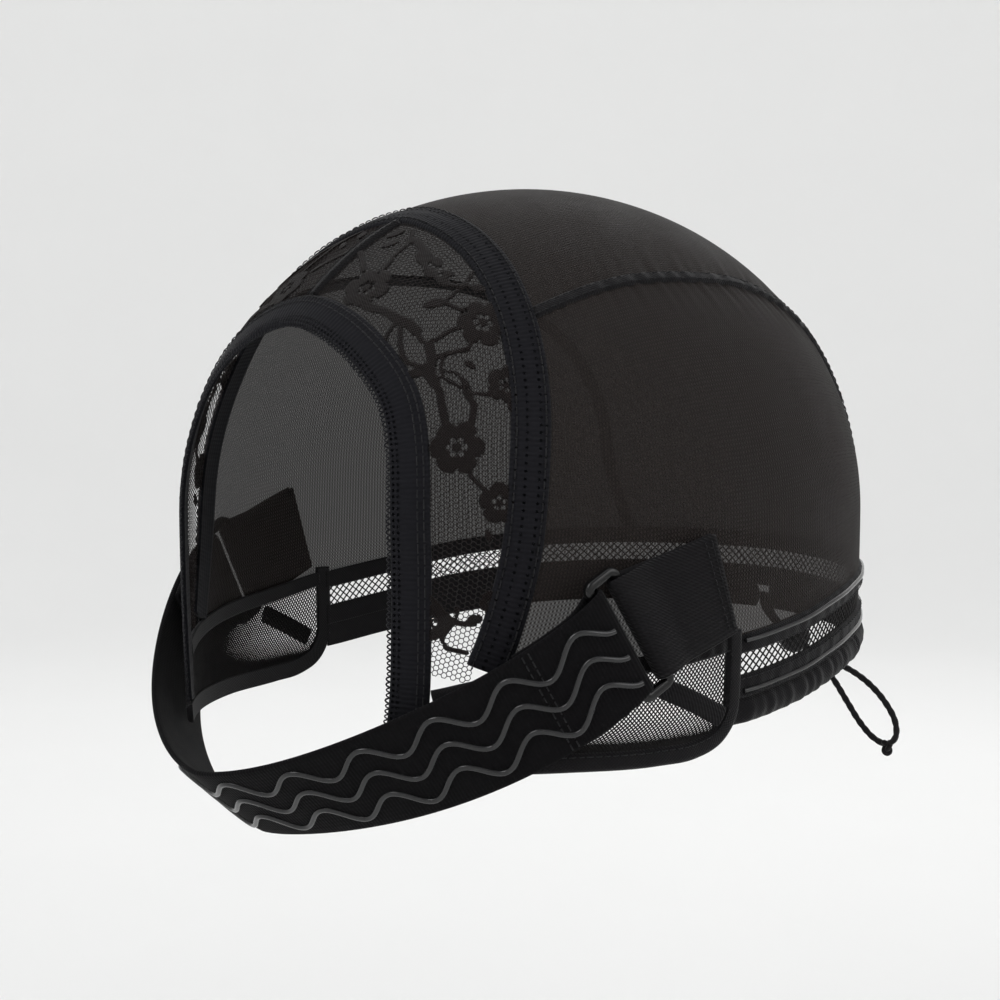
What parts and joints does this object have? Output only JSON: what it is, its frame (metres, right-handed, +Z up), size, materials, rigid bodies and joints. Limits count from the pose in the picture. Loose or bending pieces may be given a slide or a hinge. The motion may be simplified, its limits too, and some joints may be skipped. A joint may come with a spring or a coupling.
{
  "type": "wig cap",
  "caption": "Dome wig cap of sheer mesh with a lace front, open face, net ear tabs, drawstring nape and a wide grip strap held by two rings.",
  "frame": {"origin": "top of the head, at the inside of the crown panel", "axes": "+Z up, -Y towards the face, +X towards the wearer's left"},
  "size_m": [0.1644, 0.2105, 0.1545],
  "materials": {
    "mesh_cloth": "matte",
    "lace": "matte",
    "band_elastic": "matte",
    "net_cloth": "matte",
    "soft_binding": "matte",
    "strap_elastic": "matte",
    "silicone": "gloss",
    "ring_plastic": "gloss",
    "cord_cloth": "matte",
    "bead_plastic": "satin"
  },
  "bodies": {
    "root": {"crown_panel": "mesh_cloth", "side_panel_left": "mesh_cloth", "side_panel_right": "mesh_cloth", "lace_front_left": "lace", "lace_front_right": "lace", "hairline_band": "band_elastic", "lace_join_band": "band_elastic", "ear_net_left": "net_cloth", "ear_net_right": "net_cloth", "nape_net": "net_cloth", "panel_seam_left": "soft_binding", "panel_seam_right": "soft_binding", "lace_centre_seam": "soft_binding", "ear_casing_left": "soft_binding", "ear_casing_right": "soft_binding", "ear_binding_left": "soft_binding", "ear_binding_right": "soft_binding", "nape_upper_casing": "soft_binding", "nape_lower_casing": "soft_binding", "nape_hem_left": "soft_binding", "nape_hem_right": "soft_binding", "ear_elastic_left": "strap_elastic", "ear_elastic_right": "strap_elastic", "strap_tab_left": "strap_elastic", "strap_tab_right": "strap_elastic", "grip_strap": "strap_elastic", "nape_grip_upper": "silicone", "nape_grip_lower": "silicone", "grip_wave_1": "silicone", "grip_wave_2": "silicone", "grip_wave_3": "silicone", "strap_ring_left": "ring_plastic", "strap_ring_right": "ring_plastic", "draw_cord": "cord_cloth", "cord_knot": "cord_cloth", "cord_bead": "bead_plastic"}
  },
  "joints": []
}
